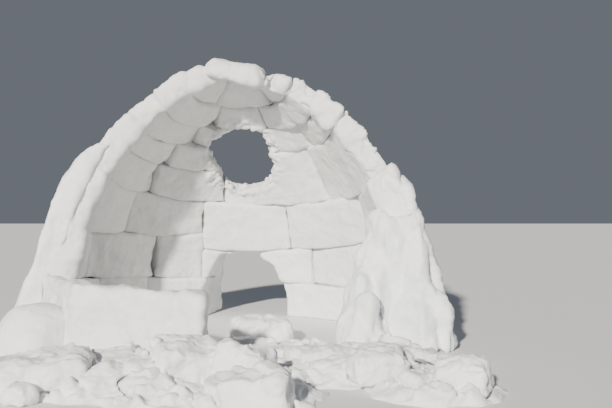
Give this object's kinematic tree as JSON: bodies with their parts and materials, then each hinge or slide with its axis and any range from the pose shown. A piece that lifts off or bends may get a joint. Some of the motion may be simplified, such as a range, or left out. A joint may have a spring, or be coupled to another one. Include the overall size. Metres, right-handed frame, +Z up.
{
  "type": "snow-block igloo, half standing",
  "caption": "Snow-block igloo with its front half fallen in: cut-open dome of slabs in rising courses, crawl doorway, melted roof hole, low front wall, snow banks and fallen blocks.",
  "frame": {"origin": "ground level, under the middle of the whole footprint", "axes": "+X to the right seen from the open front, +Y from the open front to the doorway, +Z up"},
  "size_m": [3.8899, 4.5018, 2.4238],
  "materials": {
    "packed_snow": "wind-packed snow, slightly melted",
    "loose_snow": "soft drifted snow",
    "fallen_snow": "broken packed snow",
    "melt_ice": "refrozen melt, slightly glossy"
  },
  "bodies": {
    "root": {"course_1_left_1": "packed_snow", "course_1_left_2": "packed_snow", "course_1_left_3": "packed_snow", "course_1_right_1": "packed_snow", "course_1_right_2": "packed_snow", "course_2_left_1": "packed_snow", "course_2_left_2": "packed_snow", "course_2_left_3": "packed_snow", "course_2_right_1": "packed_snow", "course_2_right_2": "packed_snow", "course_2_right_3": "packed_snow", "course_3_left_1": "packed_snow", "course_3_left_2": "packed_snow", "course_3_right_1": "packed_snow", "course_3_right_2": "packed_snow", "course_3_right_3": "packed_snow", "course_4_left_1": "packed_snow", "course_4_left_2": "packed_snow", "course_4_right_1": "packed_snow", "course_4_right_2": "packed_snow", "course_5_left_1": "packed_snow", "course_5_left_2": "packed_snow", "course_6_left_1": "packed_snow", "course_6_left_2": "packed_snow", "course_6_right_1": "packed_snow", "course_6_right_2": "packed_snow", "course_7_1": "packed_snow", "course_7_2": "packed_snow", "course_7_3": "packed_snow", "course_8_1": "packed_snow", "course_8_2": "packed_snow", "course_8_3": "packed_snow", "crown_block": "packed_snow", "door_haunch_1": "packed_snow", "fallen_block_far_right": "fallen_snow", "fallen_block_front": "fallen_snow", "fallen_block_inside": "fallen_snow", "fallen_block_middle": "fallen_snow", "fallen_block_right": "fallen_snow", "fallen_block_wall_end": "fallen_snow", "fallen_lump_far_left": "fallen_snow", "fallen_lump_left": "fallen_snow", "fallen_lump_right": "fallen_snow", "fallen_slab_left": "fallen_snow", "fallen_slab_right": "fallen_snow", "ice_stump": "melt_ice", "low_front_wall_1": "packed_snow", "low_front_wall_2": "packed_snow", "snow_bank_back_left": "loose_snow", "snow_bank_left": "loose_snow", "snow_heap_left": "loose_snow", "snow_heap_middle": "loose_snow", "snow_heap_right": "loose_snow", "snow_lump": "loose_snow"}
  },
  "joints": []
}
